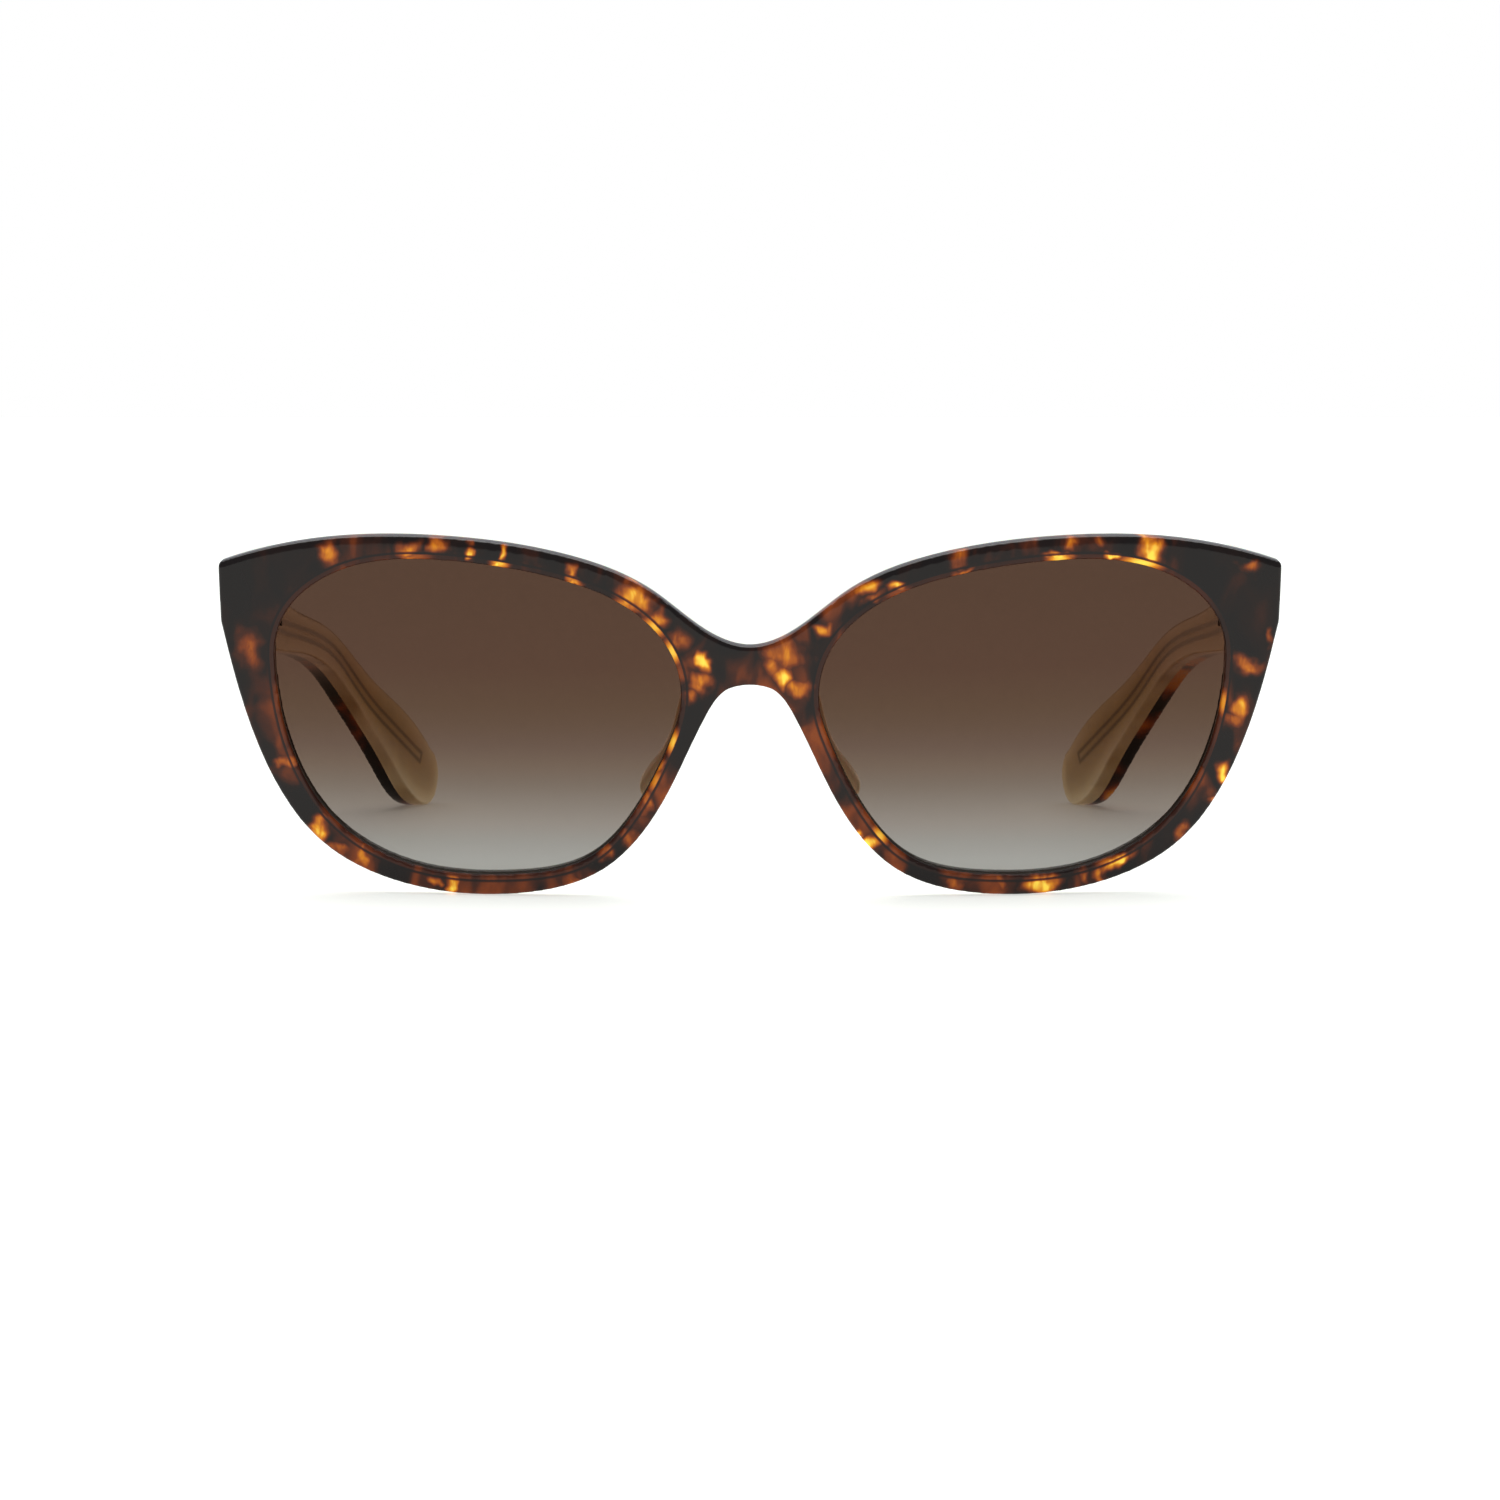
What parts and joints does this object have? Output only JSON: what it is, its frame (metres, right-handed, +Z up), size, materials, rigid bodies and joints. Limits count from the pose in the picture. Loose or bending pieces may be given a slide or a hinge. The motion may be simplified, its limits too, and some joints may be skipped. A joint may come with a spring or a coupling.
{
  "type": "cat eye sunglasses",
  "caption": "Cat eye sunglasses with a laminated tortoise and pale acetate front, gradient lenses, moulded nose pads and temples that fold on screwed knuckle hinges.",
  "frame": {"origin": "on the surface that the glasses stand on, in the middle of their width and of their whole length", "axes": "+Z up, +X to the right when the front is looked at, the front faces -Y and the open temples run towards +Y"},
  "size_m": [0.139, 0.1388, 0.0473],
  "materials": {
    "tortoise_acetate": "polished, mottled black brown and amber",
    "pale_acetate": "polished, milky grey green",
    "crystal_acetate": "polished, clear champagne",
    "gradient_lens": "polished, brown above fading to grey below",
    "hinge_metal": "satin nickel silver",
    "inlay_metal": "polished pale gold"
  },
  "bodies": {
    "front": {"front_rim": "tortoise_acetate", "front_lining": "pale_acetate", "lens_left": "gradient_lens", "lens_right": "gradient_lens", "nose_pad_left": "pale_acetate", "nose_pad_right": "pale_acetate", "front_hinge_left": "hinge_metal", "front_hinge_right": "hinge_metal", "hinge_screw_left": "hinge_metal", "hinge_screw_right": "hinge_metal"},
    "temple_left": {"temple_outer_left": "tortoise_acetate", "temple_inner_left": "crystal_acetate", "temple_hinge_left": "hinge_metal", "core_wire_left": "hinge_metal", "tip_inlay_left": "inlay_metal"},
    "temple_right": {"temple_outer_right": "tortoise_acetate", "temple_inner_right": "crystal_acetate", "temple_hinge_right": "hinge_metal", "core_wire_right": "hinge_metal", "tip_inlay_right": "inlay_metal"}
  },
  "joints": [
    {"name": "temple_left_fold", "type": "hinge", "parent": "front", "child": "temple_left", "pos_m": [-0.0637, -0.05337, 0.038], "axis": [0, 0, -1], "range_deg": [0, 82]},
    {"name": "temple_right_fold", "type": "hinge", "parent": "front", "child": "temple_right", "pos_m": [0.0637, -0.05337, 0.038], "axis": [0, 0, 1], "range_deg": [0, 70]}
  ]
}
